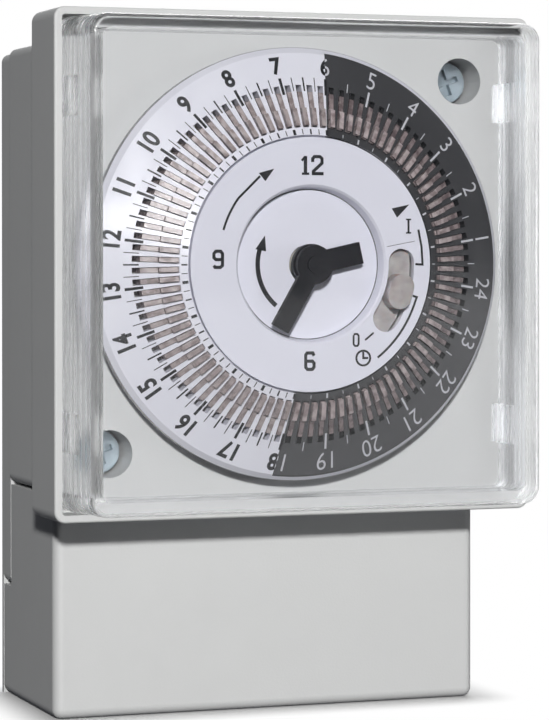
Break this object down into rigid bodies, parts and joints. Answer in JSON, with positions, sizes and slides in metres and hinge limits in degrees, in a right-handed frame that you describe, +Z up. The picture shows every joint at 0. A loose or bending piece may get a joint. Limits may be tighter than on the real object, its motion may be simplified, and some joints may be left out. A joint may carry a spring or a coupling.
{
  "type": "programmable timer",
  "caption": "Wall-mounted 24-hour dial time switch with sliding tappets, clock hands, manual selector, clear square cover and a terminal compartment below.",
  "frame": {"origin": "on the flat wall face, straight behind the centre of the dial", "axes": "+Z up; +Y into the wall, so the dial faces -Y; +X to the right as the dial is read"},
  "size_m": [0.072, 0.0525, 0.1014],
  "materials": {
    "case_plastic": "satin light grey moulded ABS",
    "base_plastic": "satin light grey moulded ABS",
    "clear_plastic": "polished clear polycarbonate",
    "dial_plastic": "satin white, half printed dark grey",
    "tappet_plastic": "translucent grey-brown nylon",
    "face_plastic": "satin white with black print",
    "hand_black": "matt black",
    "selector_plastic": "translucent pale pink-grey",
    "gear_plastic": "natural acetal",
    "zinc_screw": "blue zinc plated steel",
    "terminal_plastic": "dark grey polyamide",
    "contact_brass": "tinned brass",
    "frame_brass": "rolled brass sheet",
    "motor_case_plastic": "black moulded",
    "lamination_steel": "laminated electrical steel",
    "coil_copper": "enamelled copper winding",
    "board_green": "glass-fibre board with green solder mask",
    "crystal_can": "nickel plated can",
    "chip_black": "black epoxy",
    "capacitor_yellow": "yellow film capacitor box",
    "battery_steel": "nickel plated button cell",
    "switch_plastic": "black phenolic",
    "plunger_red": "red acetal",
    "lever_plastic": "natural acetal"
  },
  "bodies": {
    "case": {"wall_base": "base_plastic", "terminal_block": "terminal_plastic", "terminal_clamps": "zinc_screw", "terminal_screws": "zinc_screw", "rear_housing": "case_plastic", "front_frame": "case_plastic", "module_screws": "zinc_screw", "clock_face": "face_plastic", "movement_plate": "frame_brass", "plate_screws": "zinc_screw", "motor_gearbox": "motor_case_plastic", "motor_stator": "lamination_steel", "motor_coil": "coil_copper", "circuit_board": "board_green", "quartz_crystal": "crystal_can", "control_chip": "chip_black", "supply_capacitor": "capacitor_yellow", "reserve_battery": "battery_steel", "microswitch_case": "switch_plastic", "plug_blades": "contact_brass"},
    "lens_cover": {"clear_cover": "clear_plastic"},
    "wiring_cover": {"terminal_cover": "case_plastic"},
    "dial": {"timing_dial": "dial_plastic", "quarter_tappets": "tappet_plastic"},
    "slider_00": {"tappet_00": "tappet_plastic"},
    "slider_01": {"tappet_01": "tappet_plastic"},
    "slider_02": {"tappet_02": "tappet_plastic"},
    "slider_03": {"tappet_03": "tappet_plastic"},
    "slider_04": {"tappet_04": "tappet_plastic"},
    "slider_05": {"tappet_05": "tappet_plastic"},
    "slider_06": {"tappet_06": "tappet_plastic"},
    "slider_07": {"tappet_07": "tappet_plastic"},
    "slider_08": {"tappet_08": "tappet_plastic"},
    "slider_09": {"tappet_09": "tappet_plastic"},
    "slider_10": {"tappet_10": "tappet_plastic"},
    "slider_11": {"tappet_11": "tappet_plastic"},
    "slider_12": {"tappet_12": "tappet_plastic"},
    "slider_13": {"tappet_13": "tappet_plastic"},
    "slider_14": {"tappet_14": "tappet_plastic"},
    "slider_15": {"tappet_15": "tappet_plastic"},
    "slider_16": {"tappet_16": "tappet_plastic"},
    "slider_17": {"tappet_17": "tappet_plastic"},
    "slider_18": {"tappet_18": "tappet_plastic"},
    "slider_19": {"tappet_19": "tappet_plastic"},
    "slider_20": {"tappet_20": "tappet_plastic"},
    "slider_21": {"tappet_21": "tappet_plastic"},
    "slider_22": {"tappet_22": "tappet_plastic"},
    "slider_23": {"tappet_23": "tappet_plastic"},
    "hour": {"hour_wheel": "gear_plastic", "hour_hand": "hand_black"},
    "minute": {"minute_arbor": "hand_black", "minute_hand": "hand_black"},
    "motion_work": {"minute_wheel": "gear_plastic"},
    "dial_drive": {"dial_drive_wheel": "gear_plastic", "dial_pinion": "gear_plastic"},
    "motor_output": {"motor_pinion": "gear_plastic"},
    "selector": {"manual_selector": "selector_plastic"},
    "lever": {"trip_lever": "lever_plastic"},
    "plunger": {"microswitch_plunger": "plunger_red"}
  },
  "joints": [
    {"name": "dial_turn", "type": "hinge", "parent": "case", "child": "dial", "pos_m": [0, -0.0425, 0], "axis": [0, 1, 0], "continuous": true},
    {"name": "hour_turn", "type": "hinge", "parent": "case", "child": "hour", "pos_m": [0, -0.0375, 0], "axis": [0, 1, 0], "continuous": true},
    {"name": "minute_turn", "type": "hinge", "parent": "case", "child": "minute", "pos_m": [0, -0.0375, 0], "axis": [0, 1, 0], "continuous": true},
    {"name": "minute_wheel_turn", "type": "hinge", "parent": "case", "child": "motion_work", "pos_m": [0.00311, -0.0285, 0.01159], "axis": [0, 1, 0], "continuous": true},
    {"name": "dial_drive_turn", "type": "hinge", "parent": "case", "child": "dial_drive", "pos_m": [-0.01697, -0.0325, 0.01697], "axis": [0, 1, 0], "continuous": true},
    {"name": "motor_turn", "type": "hinge", "parent": "case", "child": "motor_output", "pos_m": [-0.01061, -0.0265, -0.01061], "axis": [0, 1, 0], "continuous": true},
    {"name": "selector_turn", "type": "hinge", "parent": "case", "child": "selector", "pos_m": [0, -0.0465, 0], "axis": [0, 1, 0], "range_deg": [-12, 12]},
    {"name": "lever_rock", "type": "hinge", "parent": "case", "child": "lever", "pos_m": [0.03, -0.0345, -0.004], "axis": [0, 1, 0], "range_deg": [0, 1.4]},
    {"name": "plunger_travel", "type": "slide", "parent": "case", "child": "plunger", "axis": [-1, 0, 0], "range_m": [0, 0.000415], "stiffness_N_per_m": 800, "springref_m": -0.0008},
    {"name": "cover_pull", "type": "slide", "parent": "case", "child": "lens_cover", "axis": [0, -1, 0], "range_m": [0, 0.03]},
    {"name": "terminal_cover_slide", "type": "slide", "parent": "case", "child": "wiring_cover", "axis": [0, 0, -1], "range_m": [0, 0.034]},
    {"name": "set_00h", "type": "slide", "parent": "dial", "child": "slider_00", "axis": [0.9091, 0.4067, -0.0895], "range_m": [0, 0.0008]},
    {"name": "set_01h", "type": "slide", "parent": "dial", "child": "slider_01", "axis": [0.9013, 0.4067, 0.1488], "range_m": [0, 0.0008]},
    {"name": "set_02h", "type": "slide", "parent": "dial", "child": "slider_02", "axis": [0.8321, 0.4067, 0.377], "range_m": [0, 0.0008]},
    {"name": "set_03h", "type": "slide", "parent": "dial", "child": "slider_03", "axis": [0.7062, 0.4067, 0.5795], "range_m": [0, 0.0008]},
    {"name": "set_04h", "type": "slide", "parent": "dial", "child": "slider_04", "axis": [0.5321, 0.4067, 0.7426], "range_m": [0, 0.0008]},
    {"name": "set_05h", "type": "slide", "parent": "dial", "child": "slider_05", "axis": [0.3218, 0.4067, 0.855], "range_m": [0, 0.0008]},
    {"name": "set_06h", "type": "slide", "parent": "dial", "child": "slider_06", "axis": [0.0895, 0.4067, 0.9091], "range_m": [0, 0.0008]},
    {"name": "set_07h", "type": "slide", "parent": "dial", "child": "slider_07", "axis": [-0.1488, 0.4067, 0.9013], "range_m": [0, 0.0008]},
    {"name": "set_08h", "type": "slide", "parent": "dial", "child": "slider_08", "axis": [-0.377, 0.4067, 0.8321], "range_m": [0, 0.0008]},
    {"name": "set_09h", "type": "slide", "parent": "dial", "child": "slider_09", "axis": [-0.5795, 0.4067, 0.7062], "range_m": [0, 0.0008]},
    {"name": "set_10h", "type": "slide", "parent": "dial", "child": "slider_10", "axis": [-0.7426, 0.4067, 0.5321], "range_m": [0, 0.0008]},
    {"name": "set_11h", "type": "slide", "parent": "dial", "child": "slider_11", "axis": [-0.855, 0.4067, 0.3218], "range_m": [0, 0.0008]},
    {"name": "set_12h", "type": "slide", "parent": "dial", "child": "slider_12", "axis": [-0.9091, 0.4067, 0.0895], "range_m": [0, 0.0008]},
    {"name": "set_13h", "type": "slide", "parent": "dial", "child": "slider_13", "axis": [-0.9013, 0.4067, -0.1488], "range_m": [0, 0.0008]},
    {"name": "set_14h", "type": "slide", "parent": "dial", "child": "slider_14", "axis": [-0.8321, 0.4067, -0.377], "range_m": [0, 0.0008]},
    {"name": "set_15h", "type": "slide", "parent": "dial", "child": "slider_15", "axis": [-0.7062, 0.4067, -0.5795], "range_m": [0, 0.0008]},
    {"name": "set_16h", "type": "slide", "parent": "dial", "child": "slider_16", "axis": [-0.5321, 0.4067, -0.7426], "range_m": [0, 0.0008]},
    {"name": "set_17h", "type": "slide", "parent": "dial", "child": "slider_17", "axis": [-0.3218, 0.4067, -0.855], "range_m": [0, 0.0008]},
    {"name": "set_18h", "type": "slide", "parent": "dial", "child": "slider_18", "axis": [-0.0895, 0.4067, -0.9091], "range_m": [0, 0.0008]},
    {"name": "set_19h", "type": "slide", "parent": "dial", "child": "slider_19", "axis": [0.1488, 0.4067, -0.9013], "range_m": [0, 0.0008]},
    {"name": "set_20h", "type": "slide", "parent": "dial", "child": "slider_20", "axis": [0.377, 0.4067, -0.8321], "range_m": [0, 0.0008]},
    {"name": "set_21h", "type": "slide", "parent": "dial", "child": "slider_21", "axis": [0.5795, 0.4067, -0.7062], "range_m": [0, 0.0008]},
    {"name": "set_22h", "type": "slide", "parent": "dial", "child": "slider_22", "axis": [0.7426, 0.4067, -0.5321], "range_m": [0, 0.0008]},
    {"name": "set_23h", "type": "slide", "parent": "dial", "child": "slider_23", "axis": [0.855, 0.4067, -0.3218], "range_m": [0, 0.0008]}
  ],
  "couplings": [
    {"joint": "hour_turn", "follows": "dial_turn", "ratio": 2},
    {"joint": "minute_turn", "follows": "dial_turn", "ratio": 24},
    {"joint": "minute_wheel_turn", "follows": "dial_turn", "ratio": -8},
    {"joint": "dial_drive_turn", "follows": "dial_turn", "ratio": -4},
    {"joint": "motor_turn", "follows": "dial_turn", "ratio": -48},
    {"joint": "lever_rock", "follows": "plunger_travel", "rad_per_m": 58.82}
  ]
}
